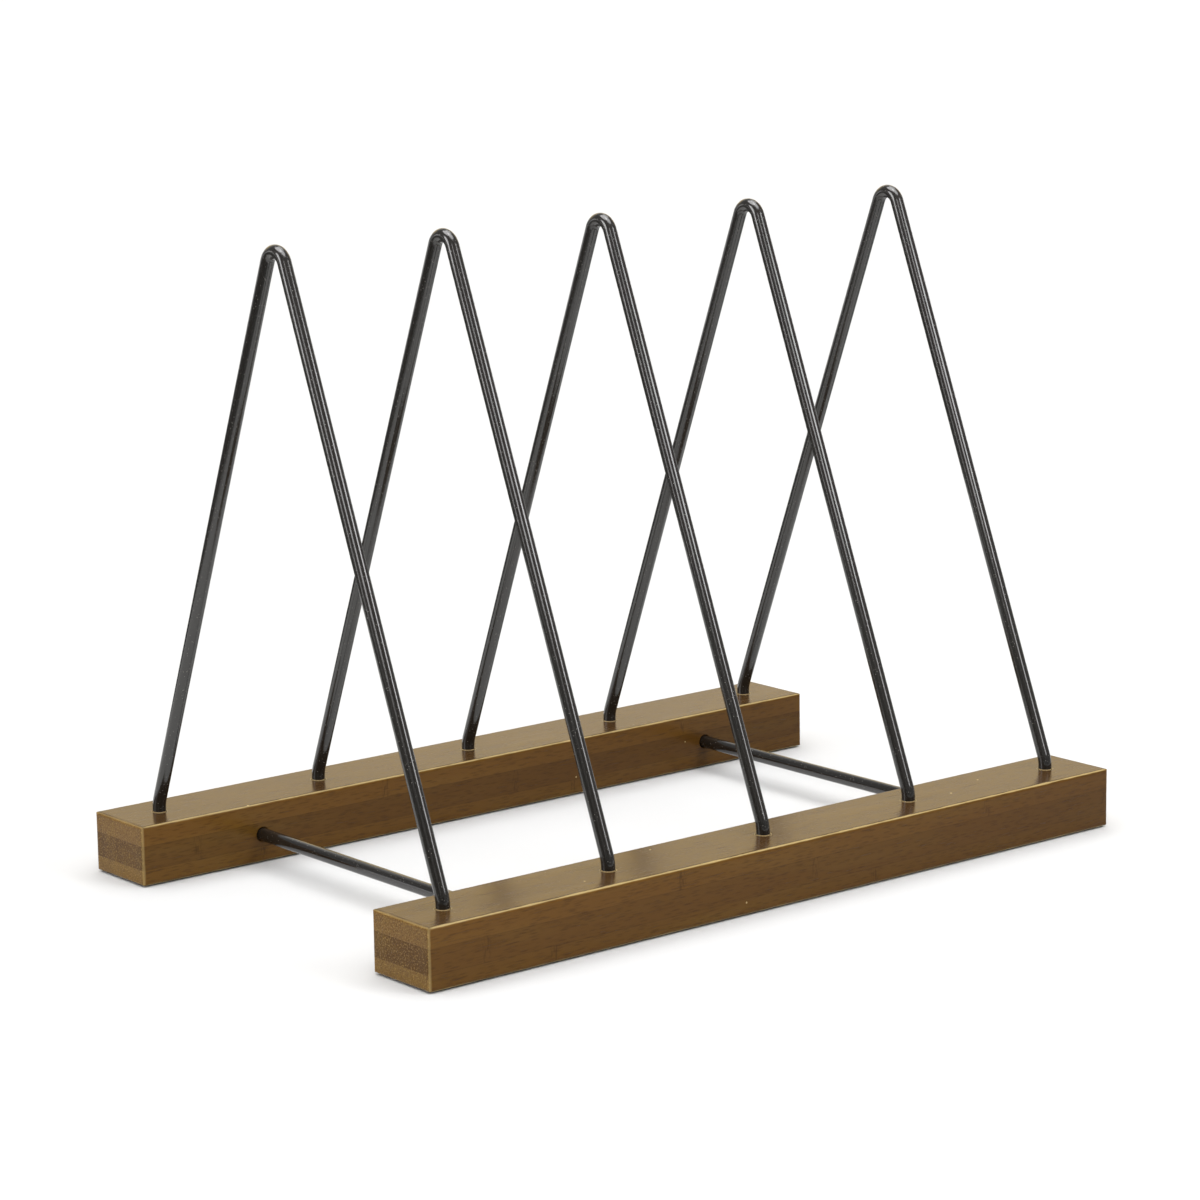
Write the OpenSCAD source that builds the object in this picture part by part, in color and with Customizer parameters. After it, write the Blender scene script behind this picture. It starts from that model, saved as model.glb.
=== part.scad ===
// Record storage stand.
//
// Two rails of laminated bamboo lie side by side, and two round cross rods tie them together.
// Five dividers, each one length of wire bent to an upside-down V, stand across the rails
// with their feet in blind holes. Records stand on the rails in the gaps between dividers.
//
// Frame: X runs along the rails, Y from the front rail to the back rail, Z up.
// The origin is on the surface that the stand rests on, under the middle of the stand.
// All sizes are in millimetres.

/* [Rails] */

// Width of each rail, front to back
rail_width = 32; // [26:0.5:44]
// Thickness of a rail's bottom ply
bottom_ply_thickness = 6; // [5:0.5:9]
// Thickness of a rail's core ply, which holds the rods and the ends of the feet
core_ply_thickness = 9; // [9:0.5:14]
// Thickness of a rail's top ply
top_ply_thickness = 7.5; // [5:0.5:10]
// Length of rail left beyond the middle of each end divider
rail_end_margin = 18; // [10:1:40]
// Radius of the softened edges and corners
rail_edge_radius = 1.2; // [0.6:0.1:2.4]

/* [Dividers] */

// Number of dividers along the rails
divider_count = 5; // [2:1:8]
// Distance from the middle of one divider to the middle of the next
divider_pitch = 72; // [50:1:100]
// Distance between the middles of a divider's two feet, and so of the two rails
divider_span = 175; // [140:0.5:220]
// Height of a divider above the top of the rails
divider_rise = 217.5; // [150:0.5:260]
// Diameter of the divider wire
wire_diameter = 5; // [3:0.1:6]
// Radius of the bend at the top, at the middle of the wire
top_bend_radius = 5.5; // [4:0.5:20]
// Radius of the bend above each foot, at the middle of the wire
foot_bend_radius = 12; // [6:0.5:25]
// Straight length of a foot between the rail and its bend
foot_rise = 1; // [0.5:0.5:10]
// Length of a foot inside the rail
foot_depth = 14; // [8:0.5:16]

/* [Cross rods] */

// Diameter of the cross rods
rod_diameter = 5; // [3:0.1:6]
// Height of a cross rod's middle above the underside of the rails
rod_height = 10.5; // [6:0.5:15]
// Distance from the end of the rails to the middle of a cross rod
rod_setback = 53; // [25:1:60]
// Length of a cross rod inside each rail
rod_depth = 11; // [5:0.5:11]

/* [Fit] */

// Gap around a foot or a rod in its hole
hole_clearance = 0.15; // [0.05:0.05:0.3]
// Depth of the small countersink at the mouth of each hole
hole_countersink = 0.3; // [0.1:0.1:0.6]

/* [Hidden] */

// Facets of a full turn on wires and holes
$fn = 64;
// Flats that make up each rounded rail edge
edge_flats = 6;
// Extra length that lets one shape pass right through another
through = 5;
// A straight stretch of wire runs this far on into the bend that it meets
bend_overlap = 0.2;
// A bend is this much thinner than a straight, as wire is where it was bent
bend_thinning = 0.02;

// Heights of the undersides of the three plies, and of the rail's top
ply_levels = [0, bottom_ply_thickness, bottom_ply_thickness + core_ply_thickness,
              bottom_ply_thickness + core_ply_thickness + top_ply_thickness];
rail_height = ply_levels[3];
rail_length = (divider_count - 1) * divider_pitch + 2 * rail_end_margin;
rail_offset = divider_span / 2;
rod_offset = rail_length / 2 - rod_setback;
inner_face = rail_offset - rail_width / 2;

// One half of a divider, drawn in its own plane with x outwards and y up: a vertical foot,
// an arc that leans inwards by leg_lean, a straight leg and half of the top bend. The leg is
// the line that touches both arcs, so its lean follows from where their centres are.
foot_bend_centre = [divider_span / 2 - foot_bend_radius, rail_height + foot_rise];
top_bend_centre = [0, rail_height + divider_rise - wire_diameter / 2 - top_bend_radius];
centre_to_centre = top_bend_centre - foot_bend_centre;
leg_lean = atan2(centre_to_centre.y, centre_to_centre.x)
    - acos((foot_bend_radius - top_bend_radius) / norm(centre_to_centre));
leg_bottom = foot_bend_centre + foot_bend_radius * [cos(leg_lean), sin(leg_lean)];
leg_top = top_bend_centre + top_bend_radius * [cos(leg_lean), sin(leg_lean)];
foot_top = [divider_span / 2, rail_height + foot_rise];
foot_bottom = [divider_span / 2, rail_height - foot_depth];

SIDES = ["front", "back"];
PLIES = ["bottom", "core", "top"];
RAIL_NODES = [for (side = SIDES) for (ply = PLIES) str(side, "_rail_", ply, "_ply")];
DIVIDER_NODES = [for (i = [1 : divider_count]) str("divider_", i)];
ROD_NODES = ["cross_rod_1", "cross_rod_2"];

function divider_x(i) = (i - (divider_count + 1) / 2) * divider_pitch;

// Corner points of a rectangle, centred on the origin, whose corners are rounded with flats
function rounded_rectangle(width, height, radius) = [
    for (corner = [0 : 3])
        for (flat = [0 : edge_flats])
            let (
                turn = 90 * (corner + flat / edge_flats),
                side_x = corner == 0 || corner == 3 ? 1 : -1,
                side_y = corner < 2 ? 1 : -1
            )
            [side_x * (width / 2 - radius) + radius * cos(turn),
             side_y * (height / 2 - radius) + radius * sin(turn)]
];

module rounded_prism(width, height, length) {
    linear_extrude(height = length + 2 * through, center = true)
        polygon(rounded_rectangle(width, height, rail_edge_radius));
}

// A rail without its holes: what its plan, its side view and its end view have in common
module rail_blank() {
    translate([0, 0, rail_height / 2])
        intersection() {
            rounded_prism(rail_length, rail_width, rail_height);
            rotate([90, 0, 0]) rounded_prism(rail_length, rail_height, rail_width);
            rotate([90, 0, 90]) rounded_prism(rail_width, rail_height, rail_length);
        }
}

// A blind hole along -Z from the origin, with its countersink, for a bar of this diameter
module blind_hole(bar_diameter, depth) {
    hole_radius = bar_diameter / 2 + hole_clearance;
    translate([0, 0, -depth]) cylinder(h = depth + through, r = hole_radius);
    translate([0, 0, -hole_countersink])
        cylinder(h = through, r1 = hole_radius, r2 = hole_radius + through);
}

// Holes in the rail on one side of the stand; side is -1 at the front and 1 at the back
module rail_holes(side) {
    for (i = [1 : divider_count])
        translate([divider_x(i), side * rail_offset, rail_height])
            blind_hole(wire_diameter, foot_depth);
    for (end = [-1, 1])
        translate([end * rod_offset, side * inner_face, rod_height])
            rotate([side * 90, 0, 0])
                blind_hole(rod_diameter, rod_depth);
}

// One ply of a rail: level 0 is the bottom ply, 1 the core and 2 the top ply
module rail_ply(side, level) {
    difference() {
        translate([0, side * rail_offset, 0])
            intersection() {
                rail_blank();
                translate([-rail_length / 2 - through, -rail_width / 2 - through, ply_levels[level]])
                    cube([rail_length + 2 * through, rail_width + 2 * through,
                          ply_levels[level + 1] - ply_levels[level]]);
            }
        rail_holes(side);
    }
}

// A straight stretch, which runs on into the bend at its top end, and at its start by start_overlap
module straight_wire(from, to, start_overlap) {
    run = to - from;
    translate([from.x, from.y, 0])
        rotate([0, 0, atan2(run.y, run.x)])
            rotate([0, 90, 0])
                translate([0, 0, -start_overlap])
                    cylinder(h = norm(run) + start_overlap + bend_overlap, d = wire_diameter);
}

module bent_wire(centre, radius, from_angle, to_angle) {
    translate([centre.x, centre.y, 0])
        rotate([0, 0, from_angle])
            rotate_extrude(angle = to_angle - from_angle)
                translate([radius, 0])
                    circle(d = wire_diameter - bend_thinning);
}

// A foot, its bend and its leg, on the side where x is positive
module divider_leg() {
    straight_wire(foot_bottom, foot_top, 0);
    bent_wire(foot_bend_centre, foot_bend_radius, 0, leg_lean);
    straight_wire(leg_bottom, leg_top, bend_overlap);
}

module divider(i) {
    color("#2f2f31")
        translate([divider_x(i), 0, 0])
            rotate([90, 0, 90]) {
                divider_leg();
                mirror([1, 0, 0]) divider_leg();
                bent_wire(top_bend_centre, top_bend_radius, leg_lean, 180 - leg_lean);
            }
}

module cross_rod(end) {
    rod_length = 2 * (inner_face + rod_depth);
    color("#38383a")
        translate([end * rod_offset, 0, rod_height])
            rotate([90, 0, 0])
                cylinder(h = rod_length, d = rod_diameter, center = true);
}

module bottom_ply(side) { color("#8a6a42") rail_ply(side, 0); }
module core_ply(side) { color("#6b4c2b") rail_ply(side, 1); }
module top_ply(side) { color("#7d5c37") rail_ply(side, 2); }

bottom_ply(-1);  // front_rail_bottom_ply
core_ply(-1);  // front_rail_core_ply
top_ply(-1);  // front_rail_top_ply
bottom_ply(1);  // back_rail_bottom_ply
core_ply(1);  // back_rail_core_ply
top_ply(1);  // back_rail_top_ply
for (i = [1 : divider_count])
    divider(i);
cross_rod(-1);  // cross_rod_1
cross_rod(1);  // cross_rod_2
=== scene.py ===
"""Record storage stand: two laminated bamboo rails, two cross rods and five bent-wire dividers.

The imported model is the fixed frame. Its six bamboo plies stay and get their finish here. The
dividers and the cross rods are swept again along their paths, so that their finish can follow
the wire. X runs along the rails, Y from the front rail to the back rail, and Z up.
"""

import logging
import math
from collections.abc import Callable, Sequence
from dataclasses import dataclass, field
from enum import Enum
from functools import partial
from typing import Optional

import bpy
from mathutils import Matrix, Vector

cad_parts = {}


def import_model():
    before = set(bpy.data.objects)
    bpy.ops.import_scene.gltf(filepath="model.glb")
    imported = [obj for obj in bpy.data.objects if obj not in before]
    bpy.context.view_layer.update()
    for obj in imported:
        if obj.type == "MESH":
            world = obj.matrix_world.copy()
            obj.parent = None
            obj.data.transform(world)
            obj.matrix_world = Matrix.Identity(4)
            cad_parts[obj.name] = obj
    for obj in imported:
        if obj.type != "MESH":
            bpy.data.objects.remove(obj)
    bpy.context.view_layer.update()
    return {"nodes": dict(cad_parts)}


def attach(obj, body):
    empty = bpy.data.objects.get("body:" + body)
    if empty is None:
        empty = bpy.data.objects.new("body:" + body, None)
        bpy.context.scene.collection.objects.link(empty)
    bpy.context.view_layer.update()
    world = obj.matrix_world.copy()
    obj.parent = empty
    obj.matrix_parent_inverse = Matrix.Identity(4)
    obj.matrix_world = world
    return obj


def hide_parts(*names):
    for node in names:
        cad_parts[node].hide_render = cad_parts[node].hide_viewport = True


Tree = bpy.types.NodeTree
Socket = bpy.types.NodeSocket
Add = Callable[..., Socket]

MM = 0.001
WHITE = "#FFFFFF"
# Nearly all the values of a noise texture lie between these two.
NOISE_RANGE = (0.3, 0.7)
LOG = logging.getLogger("record_storage_stand")


def linear(hex_colour: str) -> tuple[float, float, float, float]:
    """Turn an sRGB hex colour into the linear colour that a shader takes.

    Args:
        hex_colour: Six hex digits after a hash sign.

    Returns:
        Linear red, green, blue and an alpha of 1.
    """
    channels = [int(hex_colour[i:i + 2], 16) / 255 for i in (1, 3, 5)]
    return (*(c / 12.92 if c <= 0.04045 else ((c + 0.055) / 1.055) ** 2.4 for c in channels), 1.0)


def add_node(tree: Tree, kind: str, inputs: Sequence | dict = (), out: int | str = 0,
             **settings: object) -> Optional[Socket]:
    """Add a node to a tree, with its settings, its values and its links.

    Args:
        tree: The tree that gets the node.
        kind: The node's type name.
        inputs: Values, or outputs to link, in the order of the inputs or by their name or number.
        out: The output to return, by its name or number.
        settings: Properties of the node itself.

    Returns:
        The chosen output, or None for a node that has none.
    """
    node = tree.nodes.new(kind)
    for name, value in settings.items():
        setattr(node, name, value)
    for key, value in (inputs.items() if isinstance(inputs, dict) else enumerate(inputs)):
        if isinstance(value, Socket):
            tree.links.new(value, node.inputs[key])
        else:
            node.inputs[key].default_value = value
    return node.outputs[out] if node.outputs else None


class Side(Enum):
    """The two rails, by the sign of their Y."""

    FRONT = -1
    BACK = 1


class Level(Enum):
    """The three plies of a rail, by their number from the underside."""

    BOTTOM = 0
    CORE = 1
    TOP = 2


@dataclass(frozen=True)
class Bar:
    """What a ply's finish has to know of its rail, in millimetres."""

    length: float
    width: float
    height: float
    offset: float
    joints: tuple[float, float]
    foot_pitch: float
    rim_radius: float


@dataclass(frozen=True)
class Marks:
    """How strongly each mark tints the wood under it, from 0 for not at all to 1 for fully."""

    patches: float = 0.25
    strips: float = 0.2
    # Painted shade: the long sides grow darker towards +X by this much.
    painted_shade_toward_x: float = 0.36
    pith: float = 0.35
    knuckles: float = 0.4
    joints: float = 0.25
    # The pale edge band is rubbed stain and a painted highlight together.
    worn_edges_and_highlight: float = 0.55
    # The rims round the feet are cut stain and painted highlight together.
    rims: float = 0.25
    specks: float = 0.5
    # Hairs and bundles show more on a cut end than along a side. On the planed tops, which
    # take less stain than the sawn sides, they show less, and so do the patches.
    hairs_on_side: float = 0.42
    hairs_on_end: float = 0.5
    bundles_on_side: float = 0.3
    bundles_on_end: float = 0.5
    share_on_top: float = 0.4


@dataclass(frozen=True)
class BambooPly:
    """Carbonised bamboo ply: sawn, sanded, stained walnut and wiped with satin lacquer.

    Bamboo has no rings and no rays. It is glued up from strips, and its bundles of fibre all
    run one way: a long face shows fine dashes, a cut end shows dots, and a knuckle of the stem
    shows as a short rank of ticks. The stain sinks deepest into the sawn sides. It is rubbed
    thin along the sharp edges, which leaves a golden line, and this line is drawn brighter
    still as a painted highlight where the rounded edges catch the lamps.
    """

    name: str
    side_ground: str
    top_ground: str
    end_ground: str
    fibre: str = "#2E1A08"
    golden: str = "#745A28"
    # A pale colour for wear, which also paints the highlight on the edges and round the feet.
    pale_wear_and_highlight: str = "#CDB57C"
    pith: str = "#B08E52"
    glue: str = "#2A1A0B"
    marks: Marks = Marks()
    # Bundles are 0.4 mm thick and about twice that apart; hairs of fibre are about 0.1 mm, and
    # are drawn four times as coarse so that they show. All sizes are in millimetres.
    bundle_spacing: float = 0.85
    bundle_length: float = 6.0
    pith_spacing: float = 0.6
    hair_width: float = 0.34
    hair_length: float = 10.0
    strip_width: float = 21.0
    strip_start: float = 13.0
    patch_length: float = 90.0
    patch_width: float = 9.0
    knuckle_period: float = 149.0
    knuckle_start: float = 0.0
    knuckle_width: float = 2.4
    knuckle_core: float = 0.3
    # A knuckle breaks up into short ticks: waves per millimetre along and across the rail.
    tick_waves: tuple[float, float, float] = (1.3, 0.35, 0.35)
    speck_spacing: float = 15.0
    speck_radius: float = 0.495
    glue_half_width: float = 0.14
    # The grain strays sideways by this much over these distances.
    sway: float = 2.0
    sway_length: float = 70.0
    sway_width: float = 40.0
    # Each mark fades in between two values of its pattern, from none at the first to full.
    hair_levels: tuple[float, float] = (0.5, 0.74)
    bundle_levels: tuple[float, float] = (0.42, 0.16)
    pith_levels: tuple[float, float] = (0.52, 0.68)
    patch_levels: tuple[float, float] = (0.45, 0.75)
    tick_levels: tuple[float, float] = (0.48, 0.62)
    # Distances from a face at which its own ground begins and is full.
    face_levels: tuple[float, float] = (0.6, 0.2)
    # The same for the pale band along the edges, which is rubbed stain and a painted highlight
    # together. The band reaches further in on the top than on the sides, so that distances on it
    # count for less. Near a cut end the band is fainter.
    edge_levels: tuple[float, float] = (0.65, 0.3)
    edge_top_share: float = 0.62
    edge_end_levels: tuple[float, float] = (0.5, 1.5)
    edge_end_share: float = 0.4
    wear_spacing: float = 9.0
    wear_range: tuple[float, float] = (0.8, 1.15)
    # The lacquer's roughness between the fibres and on them, and its shine. The fibres lie a
    # little deep, and sanding left the long patches proud by this many times their depth.
    satin: float = 0.2
    fibre_satin: float = 0.3
    shine: float = 0.13
    relief: float = 0.3
    fibre_depth: float = 0.05
    patch_rise: float = 4.5

    def material(self, bar: Bar) -> bpy.types.Material:
        """Build the finish as a solid pattern in the stand's own millimetres.

        Args:
            bar: The rail that the ply belongs to.

        Returns:
            The material.
        """
        material = bpy.data.materials.new(self.name)
        material.use_nodes = True
        tree = material.node_tree
        tree.nodes.clear()
        add = partial(add_node, tree)
        place = add("ShaderNodeTexCoord", out="Object")
        place = add("ShaderNodeVectorMath", {0: place, "Scale": 1 / MM}, operation="SCALE")
        swayed = self._sway(add, place)
        hairs, bundles = self._hairs(add, swayed), self._bundles(add, swayed)
        end, top, edge = self._faces(add, place, bar)
        marks = self.marks
        tone = add("ShaderNodeMix", {
            "Factor": top, 6: linear(self.side_ground), 7: linear(self.top_ground)},
            out=2, data_type="RGBA")
        tone = add("ShaderNodeMix", {
            "Factor": end, 6: tone, 7: linear(self.end_ground)}, out=2, data_type="RGBA")
        dashes = add("ShaderNodeMapRange", [
            end, 0.0, 1.0, marks.bundles_on_side, marks.bundles_on_end])
        dashes = add("ShaderNodeMath", [dashes, bundles], operation="MULTIPLY")
        strands = add("ShaderNodeMapRange", [
            end, 0.0, 1.0, marks.hairs_on_side, marks.hairs_on_end])
        strands = add("ShaderNodeMath", [strands, hairs], operation="MULTIPLY")
        calm = add("ShaderNodeMapRange", [top, 0.0, 1.0, 1.0, marks.share_on_top])
        drift, dashes, strands = (add("ShaderNodeMath", [amount, calm], operation="MULTIPLY")
                                  for amount in (self._drift(add, place), dashes, strands))
        # The long sides are painted a little darker towards +X: painted shade, where less light
        # reaches that end.
        along = add("ShaderNodeSeparateXYZ", [place], out="X")
        shade_toward_x = add("ShaderNodeMapRange", [along, -bar.length / 2, bar.length / 2])
        for face in (end, top):
            away = add("ShaderNodeMath", [1.0, face], operation="SUBTRACT")
            shade_toward_x = add("ShaderNodeMath", [shade_toward_x, away], operation="MULTIPLY")
        for amount, strength, ink in (
                (drift, marks.patches, self.golden),
                (self._strips(add, place), marks.strips, self.fibre),
                (shade_toward_x, marks.painted_shade_toward_x, self.fibre),
                (self._pith(add, place, end), marks.pith, self.pith),
                (strands, 1.0, self.fibre),
                (dashes, 1.0, self.fibre),
                (self._knuckles(add, place), marks.knuckles, self.fibre),
                (self._joints(add, place, bar), marks.joints, self.glue),
                # Pale band on the edges: rubbed stain and painted highlight.
                (edge, marks.worn_edges_and_highlight, self.pale_wear_and_highlight),
                (self._rims(add, place, bar), marks.rims, self.pale_wear_and_highlight),
                (self._specks(add, place), marks.specks, self.pale_wear_and_highlight)):
            amount = add("ShaderNodeMath", [amount, strength], operation="MULTIPLY")
            tone = add("ShaderNodeMix", {
                "Factor": amount, 6: tone, 7: linear(ink)}, out=2, data_type="RGBA")
        rough = add("ShaderNodeMapRange", [hairs, 0.0, 1.0, self.satin, self.fibre_satin])
        relief = add("ShaderNodeMath", [hairs, bundles], operation="ADD")
        relief = add("ShaderNodeMath", [drift, -self.patch_rise, relief], operation="MULTIPLY_ADD")
        bump = add("ShaderNodeBump", {
            "Height": relief, "Strength": self.relief, "Distance": self.fibre_depth * MM},
            invert=True)
        shader = add("ShaderNodeBsdfPrincipled", {
            "Base Color": tone, "Roughness": rough, "IOR": 1.5, "Specular IOR Level": self.shine,
            "Normal": bump})
        add("ShaderNodeOutputMaterial", [shader])
        return material

    def _sway(self, add: Add, place: Socket) -> Socket:
        """Bend the grain a little, as it bends in a real stem.

        Args:
            add: Adds a node to the material's tree.
            place: The point in millimetres.

        Returns:
            The point to draw the grain at.
        """
        slow = (1 / self.sway_length, 1 / self.sway_width, 1 / self.sway_width)
        slow = add("ShaderNodeVectorMath", [place, slow], operation="MULTIPLY")
        stray = add("ShaderNodeTexNoise", {
            "Vector": slow, "Scale": 1.0, "Detail": 1.0}, out="Color")
        return add("ShaderNodeVectorMath", [stray, (0.0, self.sway, self.sway), place],
                   operation="MULTIPLY_ADD")

    def _hairs(self, add: Add, swayed: Socket) -> Socket:
        """Draw the hairs of fibre, from 0 for pale to 1 for dark.

        Args:
            add: Adds a node to the material's tree.
            swayed: The point to draw the grain at.

        Returns:
            How dark the hairs are.
        """
        fine = (1 / self.hair_length, 0.5 / self.hair_width, 0.5 / self.hair_width)
        hairs = add("ShaderNodeVectorMath", [swayed, fine], operation="MULTIPLY")
        hairs = add("ShaderNodeTexNoise", {
            "Vector": hairs, "Scale": 1.0, "Detail": 3.0, "Roughness": 0.6})
        return add("ShaderNodeMapRange", [hairs, *self.hair_levels],
                   interpolation_type="SMOOTHSTEP")

    def _bundles(self, add: Add, swayed: Socket) -> Socket:
        """Draw the bundles of fibre: dots on a cut end and dashes along the sides.

        Args:
            add: Adds a node to the material's tree.
            swayed: The point to draw the grain at.

        Returns:
            How dark the bundles are, from 0 to 1.
        """
        long = (1 / self.bundle_length, 1 / self.bundle_spacing, 1 / self.bundle_spacing)
        cells = add("ShaderNodeVectorMath", [swayed, long], operation="MULTIPLY")
        cells = add("ShaderNodeTexVoronoi", {"Vector": cells, "Scale": 1.0, "Randomness": 0.9})
        return add("ShaderNodeMapRange", [cells, *self.bundle_levels],
                   interpolation_type="SMOOTHSTEP")

    def _pith(self, add: Add, place: Socket, end: Socket) -> Socket:
        """Draw the pale dots of soft pith between the bundles, which show on a cut end only.

        Args:
            add: Adds a node to the material's tree.
            place: The point in millimetres.
            end: Whether the point is on a cut end.

        Returns:
            How pale the dot is, from 0 to 1.
        """
        dots = add("ShaderNodeTexNoise", {
            "Vector": place, "Scale": 1 / self.pith_spacing, "Detail": 1.0})
        dots = add("ShaderNodeMapRange", [dots, *self.pith_levels])
        return add("ShaderNodeMath", [dots, end], operation="MULTIPLY")

    def _drift(self, add: Add, place: Socket) -> Socket:
        """Draw long pale patches, where less stain sank in.

        Args:
            add: Adds a node to the material's tree.
            place: The point in millimetres.

        Returns:
            How golden the patch is, from 0 to 1.
        """
        slow = (1 / self.patch_length, 1 / self.patch_width, 1 / self.patch_width)
        patches = add("ShaderNodeVectorMath", [place, slow], operation="MULTIPLY")
        patches = add("ShaderNodeTexNoise", {"Vector": patches, "Scale": 1.0, "Detail": 2.0})
        return add("ShaderNodeMapRange", [patches, *self.patch_levels],
                   interpolation_type="SMOOTHSTEP")

    def _strips(self, add: Add, place: Socket) -> Socket:
        """Give each strip of the ply a tone of its own.

        Args:
            add: Adds a node to the material's tree.
            place: The point in millimetres.

        Returns:
            How dark the strip is, from 0 to 1.
        """
        strip = add("ShaderNodeSeparateXYZ", [place], out="Y")
        strip = add("ShaderNodeMath", [strip, self.strip_start], operation="ADD")
        strip = add("ShaderNodeMath", [strip, self.strip_width], operation="DIVIDE")
        strip = add("ShaderNodeMath", [strip], operation="FLOOR")
        return add("ShaderNodeTexWhiteNoise", {"W": strip}, noise_dimensions="1D")

    def _faces(self, add: Add, place: Socket, bar: Bar) -> tuple[Socket, ...]:
        """Tell the faces and edges apart by the distances to the rail's six faces.

        Args:
            add: Adds a node to the material's tree.
            place: The point in millimetres.
            bar: The rail.

        Returns:
            Whether the point is on a cut end, whether it is on the top or the underside, and how
            much of the pale edge band it gets, as rubbed stain and painted highlight, each from 0
            to 1.
        """
        from_middle = add("ShaderNodeVectorMath", [place], operation="ABSOLUTE")
        from_middle = add("ShaderNodeVectorMath", [from_middle, (0.0, bar.offset, bar.height / 2)],
                          operation="SUBTRACT")
        from_middle = add("ShaderNodeVectorMath", [from_middle], operation="ABSOLUTE")
        half_size = (bar.length / 2, bar.width / 2, bar.height / 2)
        depth = add("ShaderNodeVectorMath", [half_size, from_middle], operation="SUBTRACT")
        to_end, to_side, to_top = add("ShaderNodeSeparateXYZ", [depth]).node.outputs
        end, top = (add("ShaderNodeMapRange", [distance, *self.face_levels],
                        interpolation_type="SMOOTHSTEP") for distance in (to_end, to_top))
        to_end, to_side = (
            add("ShaderNodeMath", [distance, self.edge_top_share], operation="MULTIPLY")
            for distance in (to_end, to_side))
        # A point is on an edge where it is near to two faces, so the second distance counts.
        nearest = add("ShaderNodeMath", [to_end, to_side], operation="MINIMUM")
        second = add("ShaderNodeMath", [to_end, to_side], operation="MAXIMUM")
        second = add("ShaderNodeMath", [second, to_top], operation="MINIMUM")
        second = add("ShaderNodeMath", [second, nearest], operation="MAXIMUM")
        wear = add("ShaderNodeTexNoise", {
            "Vector": place, "Scale": 1 / self.wear_spacing, "Detail": 3.0})
        wear = add("ShaderNodeMapRange", [wear, *NOISE_RANGE, *self.wear_range])
        edge = add("ShaderNodeMath", [second, wear], operation="DIVIDE")
        edge = add("ShaderNodeMapRange", [edge, *self.edge_levels], interpolation_type="SMOOTHSTEP")
        # The band is fainter near a cut end.
        fainter_near_ends = add("ShaderNodeMapRange", [
            to_end, *self.edge_end_levels, self.edge_end_share, 1.0])
        edge = add("ShaderNodeMath", [edge, fainter_near_ends], operation="MULTIPLY")
        return end, top, edge

    def _joints(self, add: Add, place: Socket, bar: Bar) -> Socket:
        """Draw the thin dark lines of glue between the plies.

        Args:
            add: Adds a node to the material's tree.
            place: The point in millimetres.
            bar: The rail.

        Returns:
            How dark the line is, from 0 to 1.
        """
        z = add("ShaderNodeSeparateXYZ", [place], out="Z")
        lines = [add("ShaderNodeMath", [z, joint, self.glue_half_width], operation="COMPARE")
                 for joint in bar.joints]
        return add("ShaderNodeMath", lines, operation="MAXIMUM")

    def _rims(self, add: Add, place: Socket, bar: Bar) -> Socket:
        """Find the countersunk rims of the feet's holes, where the drill cut through the stain,
        with a pale ring just past them that is a painted highlight round each foot.

        Args:
            add: Adds a node to the material's tree.
            place: The point in millimetres.
            bar: The rail.

        Returns:
            1 on a rim and 0 elsewhere.
        """
        x, y, z = add("ShaderNodeSeparateXYZ", [place]).node.outputs
        y = add("ShaderNodeMath", [y], operation="ABSOLUTE")
        across = add("ShaderNodeMath", [y, bar.offset], operation="SUBTRACT")
        half_pitch = bar.foot_pitch / 2
        along = add("ShaderNodeMath", [x, -half_pitch, half_pitch], operation="WRAP")
        foot = add("ShaderNodeCombineXYZ", [along, across])
        foot = add("ShaderNodeVectorMath", [foot], out="Value", operation="LENGTH")
        foot = add("ShaderNodeMath", [foot, bar.rim_radius], operation="LESS_THAN")
        upper = add("ShaderNodeMath", [z, bar.height / 2], operation="GREATER_THAN")
        return add("ShaderNodeMath", [foot, upper], operation="MULTIPLY")

    def _knuckles(self, add: Add, place: Socket) -> Socket:
        """Draw the stem's knuckles: short ticks across the grain in a narrow band.

        Args:
            add: Adds a node to the material's tree.
            place: The point in millimetres.

        Returns:
            How dark the ticks are, from 0 to 1.
        """
        half = self.knuckle_period / 2
        x = add("ShaderNodeSeparateXYZ", [place], out="X")
        x = add("ShaderNodeMath", [x, self.knuckle_start], operation="SUBTRACT")
        x = add("ShaderNodeMath", [x, -half, half], operation="WRAP")
        x = add("ShaderNodeMath", [x], operation="ABSOLUTE")
        core = self.knuckle_core * self.knuckle_width
        band = add("ShaderNodeMapRange", [x, self.knuckle_width, core],
                   interpolation_type="SMOOTHSTEP")
        ticks = add("ShaderNodeVectorMath", [place, self.tick_waves], operation="MULTIPLY")
        ticks = add("ShaderNodeTexNoise", {"Vector": ticks, "Scale": 1.0, "Detail": 2.0})
        ticks = add("ShaderNodeMapRange", [ticks, *self.tick_levels])
        return add("ShaderNodeMath", [band, ticks], operation="MULTIPLY")

    def _specks(self, add: Add, place: Socket) -> Socket:
        """Draw the few pale specks where a pore has lost its stain.

        Args:
            add: Adds a node to the material's tree.
            place: The point in millimetres.

        Returns:
            1 on a speck and 0 elsewhere.
        """
        specks = add("ShaderNodeTexVoronoi", {"Vector": place, "Scale": 1 / self.speck_spacing})
        radius = self.speck_radius / self.speck_spacing
        return add("ShaderNodeMath", [specks, radius], operation="LESS_THAN")


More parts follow.
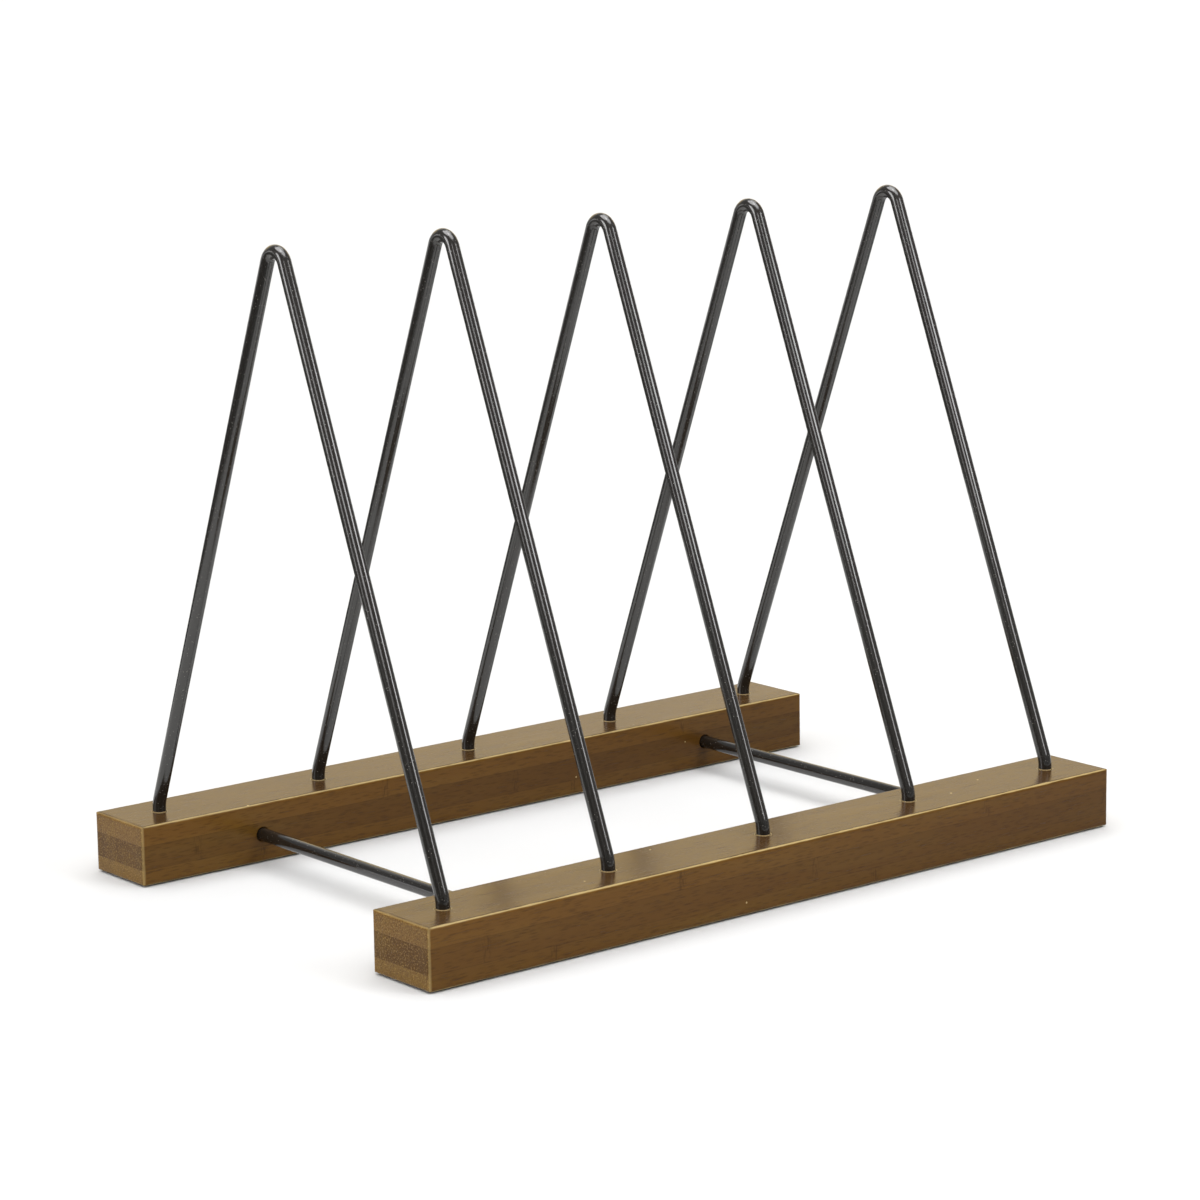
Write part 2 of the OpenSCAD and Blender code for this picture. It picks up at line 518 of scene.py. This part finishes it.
@dataclass(frozen=True)
class LacqueredWire:
    """Bright drawn steel wire, blackened and dipped in clear gloss lacquer.

    The lacquer is smooth, so that lamps show in it as sharp lines along the wire. The die has
    left faint draw lines under it, and dust that settled in the wet lacquer shows as flecks.
    """

    name: str
    body: str = "#1D1B18"
    fleck: str = "#96918A"
    # The roughness goes from the first value to the second across the draw lines.
    gloss: tuple[float, float] = (0.12, 0.2)
    shine: float = 0.85
    # All sizes are in millimetres.
    draw_line_spacing: float = 0.45
    draw_line_length: float = 60.0
    ripple_spacing: float = 0.8
    fleck_spacing: float = 1.1
    fleck_levels: tuple[float, float] = (0.16, 0.06)
    fleck_strength: float = 0.6
    relief: float = 0.6
    relief_depth: float = 0.03
    # Dried glue that rose out of the hole stands round each foot as a thin line, painted pale as a
    # painted highlight on the bead.
    glue: str = "#A8926C"
    glue_height: float = 0.2

    def material(self, diameter: float, rail_top: float) -> bpy.types.Material:
        """Build the finish on the wire's own attributes, so that it follows the bends.

        Args:
            diameter: The wire's diameter in millimetres.
            rail_top: The height of the wood that the wire comes out of, in millimetres.

        Returns:
            The material.
        """
        material = bpy.data.materials.new(self.name)
        material.use_nodes = True
        tree = material.node_tree
        tree.nodes.clear()
        add = partial(add_node, tree)
        around = add("ShaderNodeAttribute", out="Vector", attribute_name="section")
        around = add("ShaderNodeVectorMath", {0: around, "Scale": diameter / 2}, operation="SCALE")
        along = add("ShaderNodeAttribute", out="Fac", attribute_name="along")
        along = add("ShaderNodeMath", [along, 1 / MM], operation="MULTIPLY")
        along = add("ShaderNodeCombineXYZ", {"Z": along})
        on_wire = add("ShaderNodeVectorMath", [around, along], operation="ADD")
        across = 0.5 / self.draw_line_spacing
        fine = (across, across, 1 / self.draw_line_length)
        lines = add("ShaderNodeVectorMath", [on_wire, fine], operation="MULTIPLY")
        lines = add("ShaderNodeTexNoise", {"Vector": lines, "Scale": 1.0, "Detail": 2.0})
        flecks = add("ShaderNodeTexVoronoi", {"Vector": on_wire, "Scale": 1 / self.fleck_spacing})
        flecks = add("ShaderNodeMapRange", [flecks, *self.fleck_levels],
                     interpolation_type="SMOOTHSTEP")
        ripples = add("ShaderNodeTexNoise", {
            "Vector": on_wire, "Scale": 0.5 / self.ripple_spacing, "Detail": 2.0})
        tint = add("ShaderNodeMath", [flecks, self.fleck_strength], operation="MULTIPLY")
        tone = add("ShaderNodeMix", {
            "Factor": tint, 6: linear(self.body), 7: linear(self.fleck)}, out=2, data_type="RGBA")
        # A thin band at the top of the rail: the glue bead, painted pale as its highlight.
        level = add("ShaderNodeSeparateXYZ", [add("ShaderNodeTexCoord", out="Object")], out="Z")
        glue_bead_and_highlight = add("ShaderNodeMath", [level, rail_top * MM, self.glue_height * MM],
                    operation="COMPARE")
        tone = add("ShaderNodeMix", {
            "Factor": glue_bead_and_highlight, 6: tone, 7: linear(self.glue)}, out=2, data_type="RGBA")
        rough = add("ShaderNodeMapRange", [lines, *NOISE_RANGE, *self.gloss])
        relief = add("ShaderNodeMath", [flecks, lines], operation="ADD")
        relief = add("ShaderNodeMath", [ripples, relief], operation="ADD")
        bump = add("ShaderNodeBump", {
            "Height": relief, "Strength": self.relief, "Distance": self.relief_depth * MM})
        shader = add("ShaderNodeBsdfPrincipled", {
            "Base Color": tone, "Roughness": rough, "IOR": 1.5, "Specular IOR Level": self.shine,
            "Normal": bump})
        add("ShaderNodeOutputMaterial", [shader])
        return material


@dataclass
class Rails:
    """The two rails, each glued up from three plies. Sizes are in millimetres."""

    length: float = 324.0
    width: float = 32.0
    bottom_ply: float = 6.0
    core_ply: float = 9.0
    top_ply: float = 7.5
    offset: float = 87.5
    finishes: dict[Level, BambooPly] = field(default_factory=lambda: {
        Level.BOTTOM: BambooPly("bamboo_bottom_ply", "#604218", "#3C2A16", "#694E23",
                                knuckle_start=40.0),
        Level.CORE: BambooPly("bamboo_core_ply", "#5D3F17", "#3C2A16", "#4D330D",
                              knuckle_start=-138.0, strip_start=8.0),
        Level.TOP: BambooPly("bamboo_top_ply", "#65451A", "#3E2B16", "#664A22",
                             knuckle_start=-52.0),
    })

    @property
    def height(self) -> float:
        """Height of a rail."""
        return self.bottom_ply + self.core_ply + self.top_ply

    def dress(self, dividers: "Dividers", nodes: dict[str, bpy.types.Object]) -> None:
        """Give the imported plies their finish.

        Args:
            dividers: Gives the holes in the tops of the rails.
            nodes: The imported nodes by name.
        """
        bar = Bar(self.length, self.width, self.height, self.offset,
                  (self.bottom_ply, self.bottom_ply + self.core_ply),
                  dividers.pitch, dividers.rim_radius)
        for level in Level:
            material = self.finishes[level].material(bar)
            for side in Side:
                name = f"{side.name.lower()}_rail_{level.name.lower()}_ply"
                for slot in nodes[name].material_slots:
                    slot.material = material
                LOG.info("%s: %s", name, material.name)


def wire_tree(name: str) -> Tree:
    """Build the geometry tree that rounds the corners of a path and sweeps a wire along it.

    Each point of the result knows its place on the wire's section and its length along the wire.

    Args:
        name: The tree's name.

    Returns:
        The tree, with Diameter, Sides, Steps and Material as its inputs.
    """
    tree = bpy.data.node_groups.new(name, "GeometryNodeTree")
    for label, kind, default in (
            ("Path", "NodeSocketGeometry", None),
            ("Diameter", "NodeSocketFloat", 5 * MM),
            ("Sides", "NodeSocketInt", 40),
            ("Steps", "NodeSocketInt", 20),
            ("Material", "NodeSocketMaterial", None)):
        socket = tree.interface.new_socket(label, in_out="INPUT", socket_type=kind)
        if default is not None:
            socket.default_value = default
    tree.interface.new_socket("Wire", in_out="OUTPUT", socket_type="NodeSocketGeometry")
    add = partial(add_node, tree)
    given = add("NodeGroupInput").node.outputs
    bend = add("GeometryNodeInputNamedAttribute", {"Name": "bend_radius"}, data_type="FLOAT")
    path = add("GeometryNodeMeshToCurve", {"Mesh": given["Path"]})
    path = add("GeometryNodeFilletCurve", {
        "Curve": path, "Count": given["Steps"], "Radius": bend}, mode="POLY")
    along = add("GeometryNodeSplineParameter", out="Length")
    path = add("GeometryNodeStoreNamedAttribute", {
        "Geometry": path, "Name": "along", "Value": along}, data_type="FLOAT", domain="POINT")
    radius = add("ShaderNodeMath", [given["Diameter"], 0.5], operation="MULTIPLY")
    ring = add("GeometryNodeCurvePrimitiveCircle", {"Resolution": given["Sides"], "Radius": radius})
    unit = add("ShaderNodeVectorMath", [add("GeometryNodeInputPosition")], operation="NORMALIZE")
    ring = add("GeometryNodeStoreNamedAttribute", {
        "Geometry": ring, "Name": "section", "Value": unit},
        data_type="FLOAT_VECTOR", domain="POINT")
    wire = add("GeometryNodeCurveToMesh", {"Curve": path, "Profile Curve": ring, "Fill Caps": True})
    wire = add("GeometryNodeSetShadeSmooth", {"Geometry": wire})
    wire = add("GeometryNodeRealizeInstances", {"Geometry": wire})
    wire = add("GeometryNodeSetMaterial", {"Geometry": wire, "Material": given["Material"]})
    add("NodeGroupOutput", {"Wire": wire})
    return tree


def sweep(name: str, corners: list[tuple[Vector, float]], diameter: float, tree: Tree,
          material: bpy.types.Material) -> bpy.types.Object:
    """Sweep a wire along a path and leave it as a plain mesh.

    Args:
        name: The piece's name.
        corners: Each corner of the path with its bend radius, in millimetres.
        diameter: The wire's diameter in millimetres.
        tree: The geometry tree from wire_tree().
        material: The wire's finish.

    Returns:
        The finished piece.
    """
    path = bpy.data.meshes.new(f"{name}_path")
    edges = [(i, i + 1) for i in range(len(corners) - 1)]
    path.from_pydata([tuple(point * MM) for point, _ in corners], edges, [])
    bend = path.attributes.new("bend_radius", "FLOAT", "POINT")
    bend.data.foreach_set("value", [radius * MM for _, radius in corners])
    piece = bpy.data.objects.new(name, path)
    bpy.context.scene.collection.objects.link(piece)
    modifier = piece.modifiers.new("Sweep", "NODES")
    modifier.node_group = tree
    values = {"Diameter": diameter * MM, "Material": material}
    for item in tree.interface.items_tree:
        if item.name in values:
            modifier[item.identifier] = values[item.name]
    graph = bpy.context.evaluated_depsgraph_get()
    mesh = bpy.data.meshes.new_from_object(
        piece.evaluated_get(graph), preserve_all_data_layers=True, depsgraph=graph)
    piece.modifiers.remove(modifier)
    piece.data = mesh
    mesh.name = name
    return piece


@dataclass
class Dividers:
    """The five bent-wire dividers. Sizes are in millimetres."""

    count: int = 5
    pitch: float = 72.0
    diameter: float = 5.0
    rise: float = 217.5
    top_bend: float = 5.5
    foot_bend: float = 12.0
    foot_rise: float = 1.0
    foot_depth: float = 14.0
    # The pale ring reaches a little past the countersink, as a painted highlight round each foot.
    rim_radius: float = 3.2
    finish: LacqueredWire = LacqueredWire("lacquered_black_steel_wire")

    def corners(self, rails: Rails, x: float) -> list[tuple[Vector, float]]:
        """Work out where the straight stretches of one divider meet.

        Args:
            rails: Gives the span and the height of the feet.
            x: The divider's place along the rails.

        Returns:
            The five corners of the path, each with its bend radius.
        """
        span = rails.offset
        foot_centre = Vector((span - self.foot_bend, rails.height + self.foot_rise))
        top_centre = Vector((0.0, rails.height + self.rise - self.diameter / 2 - self.top_bend))
        between = top_centre - foot_centre
        turn = math.acos((self.foot_bend - self.top_bend) / between.length)
        lean = math.atan2(between.y, between.x) - turn
        knee = foot_centre.y + self.foot_bend * math.tan(lean / 2)
        tip = top_centre.y + self.top_bend / math.sin(lean)
        foot = rails.height - self.foot_depth
        return [(Vector((x, y, z)), radius) for y, z, radius in (
            (-span, foot, 0.0), (-span, knee, self.foot_bend), (0.0, tip, self.top_bend),
            (span, knee, self.foot_bend), (span, foot, 0.0))]

    def build(self, rails: Rails, tree: Tree) -> None:
        """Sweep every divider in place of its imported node.

        Args:
            rails: Gives the span and the height of the feet.
            tree: The geometry tree from wire_tree().
        """
        material = self.finish.material(self.diameter, rails.height)
        for i in range(self.count):
            x = (i - (self.count - 1) / 2) * self.pitch
            node = f"divider_{i + 1}"
            piece = sweep(f"{node}_wire", self.corners(rails, x), self.diameter, tree, material)
            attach(piece, "root")
            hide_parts(node)
            LOG.info("%s: %d faces", piece.name, len(piece.data.polygons))


@dataclass
class CrossRods:
    """The two straight rods that tie the rails together. Sizes are in millimetres."""

    diameter: float = 5.0
    height: float = 10.5
    offset: float = 109.0
    depth: float = 11.0
    finish: LacqueredWire = LacqueredWire("lacquered_black_steel_rod", body="#181614")

    def build(self, rails: Rails, tree: Tree) -> None:
        """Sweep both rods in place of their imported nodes.

        Args:
            rails: Gives the gap that the rods cross.
            tree: The geometry tree from wire_tree().
        """
        material = self.finish.material(self.diameter, rails.height)
        reach = rails.offset - rails.width / 2 + self.depth
        for number, side in enumerate((-1, 1), 1):
            node = f"cross_rod_{number}"
            ends = [(Vector((side * self.offset, y, self.height)), 0.0) for y in (-reach, reach)]
            piece = sweep(f"{node}_bar", ends, self.diameter, tree, material)
            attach(piece, "root")
            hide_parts(node)
            LOG.info("%s: %d faces", piece.name, len(piece.data.polygons))


@dataclass(frozen=True)
class Lamp:
    """A far, round soft box, which looks the same from every part of the stand.

    Angles are in degrees. A lamp that lights falls on the surfaces, and one that shows can be
    seen in reflections.
    """

    name: str
    azimuth: float
    elevation: float
    across: float
    radiance: float
    lights: bool = True
    shows: bool = True

    def hang(self) -> None:
        """Add the lamp as a distant light of the right size and brightness."""
        light = bpy.data.lights.new(self.name, "SUN")
        light.angle = math.radians(self.across)
        light.energy = self.radiance * math.pi * math.sin(light.angle / 2) ** 2
        holder = bpy.data.objects.new(self.name, light)
        back = direction(self.azimuth, self.elevation)
        holder.rotation_euler = back.to_track_quat("Z", "Y").to_euler()
        holder.visible_diffuse = self.lights
        holder.visible_glossy = self.shows
        bpy.context.scene.collection.objects.link(holder)


@dataclass(frozen=True)
class SoftBox:
    """A round soft box so near that each divider shows it in another place.

    Lengths are in metres.
    """

    name: str
    place: tuple[float, float, float]
    across: float
    radiance: float
    aim: tuple[float, float, float] = (0.0, 0.0, 0.12)

    def hang(self) -> None:
        """Add the soft box as a disc of light that faces its aim and stays out of the picture."""
        light = bpy.data.lights.new(self.name, "AREA")
        light.shape = "DISK"
        light.size = self.across
        light.energy = self.radiance * (math.pi * self.across / 2) ** 2
        holder = bpy.data.objects.new(self.name, light)
        holder.location = self.place
        back = Vector(self.place) - Vector(self.aim)
        holder.rotation_euler = back.to_track_quat("Z", "Y").to_euler()
        holder.visible_camera = False
        bpy.context.scene.collection.objects.link(holder)


def direction(azimuth: float, elevation: float) -> Vector:
    """Point a way.

    Args:
        azimuth: Degrees from +X towards +Y.
        elevation: Degrees above the floor.

    Returns:
        The unit vector.
    """
    around, up = math.radians(azimuth), math.radians(elevation)
    return Vector((math.cos(around) * math.cos(up), math.sin(around) * math.cos(up), math.sin(up)))


@dataclass(frozen=True)
class Flag:
    """A dark card that only reflections show. Lengths are in metres.

    An upright card stands on the line between its two points, and one that lies flat has four.
    Its level keeps it clear of the floor and of the other cards.
    """

    name: str
    points: tuple[tuple[float, float], ...]
    height: float = 0.0
    level: float = 0.0
    grey: float = 0.07

    def corners(self) -> list[tuple[float, float, float]]:
        """Work out the card's corners.

        Returns:
            The four corners in order round the card.
        """
        foot = [(x, y, self.level) for x, y in self.points]
        head = [(x, y, self.height) for x, y in reversed(self.points)] if self.height else []
        return foot + head


@dataclass
class Studio:
    """The camera, the pale floor and the soft light. Lengths are in metres."""

    camera_at: tuple[float, float, float] = (-0.89695, -1.10281, 0.38544)
    camera_azimuth: float = 230.972
    camera_elevation: float = 11.530
    roll: float = -0.818
    sensor: float = 36.0
    lens: float = 116.634
    clip: tuple[float, float] = (0.05, 200.0)
    floor_radius: float = 60.0
    floor_sides: int = 96
    # The floor is this far below the stand, which leaves a thin dark line under the rails.
    floor_drop: float = 0.0005
    floor_white: float = 0.56
    # The pale wall stands behind the stand and shows in the tops of the rails. It fades in from
    # its sides, by the cosine of the angle from its middle, and out by this share about its top.
    # A brighter and warmer band crosses it, between these sines of the elevation.
    wall_azimuth: float = 52.0
    wall_sides: tuple[float, float] = (0.5, 0.85)
    wall_top: float = 44.0
    wall_fade: float = 0.1
    wall_radiance: float = 0.92
    band_bottom: tuple[float, float] = (0.1, 0.27)
    band_top: tuple[float, float] = (0.53, 0.34)
    band_radiance: float = 1.64
    band_tint: str = "#FFE09C"
    room_radiance: float = 0.24
    lamps: tuple[Lamp, ...] = (
        Lamp("ceiling", 225.0, 88.0, 85.0, 2.98, shows=False),
        Lamp("overhead_back_box", 130.0, 71.0, 42.0, 5.0, lights=False),
        Lamp("overhead_front_box", 278.0, 77.0, 42.0, 4.6, lights=False),
        Lamp("overhead_wall_box", 38.0, 63.0, 30.0, 3.0, lights=False),
        Lamp("camera_box", 225.0, 20.5, 20.0, 4.5),
        Lamp("left_box", 160.0, 16.5, 28.0, 6.0),
        Lamp("low_left_box", 169.0, 3.0, 20.0, 0.8),
        Lamp("far_left_box", 125.0, 3.0, 12.0, 1.6),
    )
    keys: tuple[SoftBox, ...] = (
        SoftBox("key_box", (0.251, -0.654, 0.55), 0.3, 7.5),
        SoftBox("low_key_box", (0.18, -0.67, 0.33), 0.17, 6.0))
    # Two flags stand upright. Five lie where the table in the photograph came to its edges.
    flags: tuple[Flag, ...] = (
        Flag("left_flag", ((-0.45, 0.25), (-0.45, -0.3)), height=0.125),
        Flag("camera_flag", ((-0.95, -0.6), (-0.2, -0.6)), height=0.41),
        Flag("back_edge", ((-3.0, 0.42), (3.0, 0.42), (3.0, 3.0), (-3.0, 3.0)), level=0.0002),
        Flag("left_edge", ((-3.0, -0.3), (-0.45, -0.3), (-0.45, 0.42), (-3.0, 0.42)), level=0.0002),
        Flag("camera_edge", ((-0.755, 0.524), (-2.37, -0.658), (-1.305, -2.112), (0.309, -0.93)),
             level=0.0004),
        Flag("front_edge", ((-0.6, -0.28), (-0.6, -3.0), (2.0, -3.0), (2.0, -0.28)), level=0.0006),
        Flag("right_edge", ((0.36, -0.28), (3.0, -0.28), (3.0, 0.42), (0.36, 0.42)),
             level=0.0003, grey=0.24),
    )

    def build(self) -> None:
        """Make the camera, the floor, the flags, the room and the lamps."""
        scene = bpy.context.scene
        scene.view_settings.view_transform = "Standard"
        self._camera(scene)
        self._floor()
        self._flags()
        self._room(scene)
        for lamp in (*self.lamps, *self.keys):
            lamp.hang()

    def _camera(self, scene: bpy.types.Scene) -> None:
        """Set the camera where the photograph was taken from.

        Args:
            scene: The scene that gets the camera.
        """
        back = direction(self.camera_azimuth, self.camera_elevation)
        right = (-back).cross(Vector((0, 0, 1))).normalized()
        up = right.cross(-back)
        roll = math.radians(self.roll)
        rolled_right = math.cos(roll) * right + math.sin(roll) * up
        rolled_up = math.cos(roll) * up - math.sin(roll) * right
        data = bpy.data.cameras.new("camera")
        data.sensor_width = self.sensor
        data.lens = self.lens
        data.clip_start, data.clip_end = self.clip
        camera = bpy.data.objects.new("camera", data)
        turn = Matrix((rolled_right, rolled_up, back)).transposed().to_4x4()
        camera.matrix_world = Matrix.Translation(self.camera_at) @ turn
        scene.collection.objects.link(camera)
        scene.camera = camera

    def _stage(self, name: str, corners: list[tuple[float, float, float]],
               grey: float) -> bpy.types.Object:
        """Add a flat, matt part of the set.

        Args:
            name: The part's name, which its material shares.
            corners: The corners of its one face, in metres.
            grey: How much light it throws back.

        Returns:
            The part.
        """
        mesh = bpy.data.meshes.new(name)
        mesh.from_pydata(corners, [], [tuple(range(len(corners)))])
        material = bpy.data.materials.new(name)
        material.use_nodes = True
        tree = material.node_tree
        tree.nodes.clear()
        shader = add_node(tree, "ShaderNodeBsdfDiffuse", [(grey, grey, grey, 1.0)])
        add_node(tree, "ShaderNodeOutputMaterial", [shader])
        mesh.materials.append(material)
        part = bpy.data.objects.new(name, mesh)
        bpy.context.scene.collection.objects.link(part)
        return part

    def _floor(self) -> None:
        """Lay a pale disc so wide that its rim is out of sight."""
        turns = [2 * math.pi * i / self.floor_sides for i in range(self.floor_sides)]
        radius, level = self.floor_radius, -self.floor_drop
        rim = [(radius * math.cos(turn), radius * math.sin(turn), level) for turn in turns]
        self._stage("white_paper_floor", rim, self.floor_white)

    def _flags(self) -> None:
        """Set up the flags and hide them from all but reflections."""
        for flag in self.flags:
            card = self._stage(flag.name, flag.corners(), flag.grey)
            card.visible_camera = card.visible_diffuse = card.visible_shadow = False

    def _room(self, scene: bpy.types.Scene) -> None:
        """Make the dim room with its pale wall; the camera sees white paper everywhere.

        Args:
            scene: The scene that gets the room.
        """
        world = bpy.data.worlds.new("studio")
        world.use_nodes = True
        tree = world.node_tree
        tree.nodes.clear()
        add = partial(add_node, tree)
        way = add("ShaderNodeTexCoord", out="Generated")
        middle = tuple(direction(self.wall_azimuth, 0.0))
        facing = add("ShaderNodeVectorMath", [way, middle], out="Value", operation="DOT_PRODUCT")
        facing = add("ShaderNodeMapRange", [facing, *self.wall_sides],
                     interpolation_type="SMOOTHSTEP")
        level = add("ShaderNodeSeparateXYZ", [way], out="Z")
        top = math.sin(math.radians(self.wall_top))
        below = add("ShaderNodeMapRange", [
            level, (1 + self.wall_fade) * top, (1 - self.wall_fade) * top],
            interpolation_type="SMOOTHSTEP")
        wall = add("ShaderNodeMath", [facing, below], operation="MULTIPLY")
        under, over = (add("ShaderNodeMapRange", [level, *levels], interpolation_type="SMOOTHSTEP")
                       for levels in (self.band_top, self.band_bottom))
        band = add("ShaderNodeMath", [under, over], operation="MULTIPLY")
        bright = add("ShaderNodeMapRange", [band, 0.0, 1.0, self.wall_radiance, self.band_radiance])
        radiance = add("ShaderNodeMapRange", [wall, 0.0, 1.0, self.room_radiance, bright])
        warmth = add("ShaderNodeMath", [wall, band], operation="MULTIPLY")
        tint = add("ShaderNodeMix", {
            "Factor": warmth, 6: linear(WHITE), 7: linear(self.band_tint)}, out=2, data_type="RGBA")
        seen = add("ShaderNodeLightPath", out="Is Camera Ray")
        tint = add("ShaderNodeMix", {
            "Factor": seen, 6: tint, 7: linear(WHITE)}, out=2, data_type="RGBA")
        radiance = add("ShaderNodeMath", [radiance, seen], operation="MAXIMUM")
        shader = add("ShaderNodeBackground", {"Color": tint, "Strength": radiance})
        add("ShaderNodeOutputWorld", [shader])
        scene.world = world


def main() -> None:
    """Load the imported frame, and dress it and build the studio."""
    logging.basicConfig(level=logging.INFO, format="%(name)s: %(message)s")
    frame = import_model()
    Studio().build()
    rails, dividers, rods = Rails(), Dividers(), CrossRods()
    rails.dress(dividers, frame["nodes"])
    tree = wire_tree("bent_wire")
    dividers.build(rails, tree)
    rods.build(rails, tree)


if __name__ == "__main__":
    main()
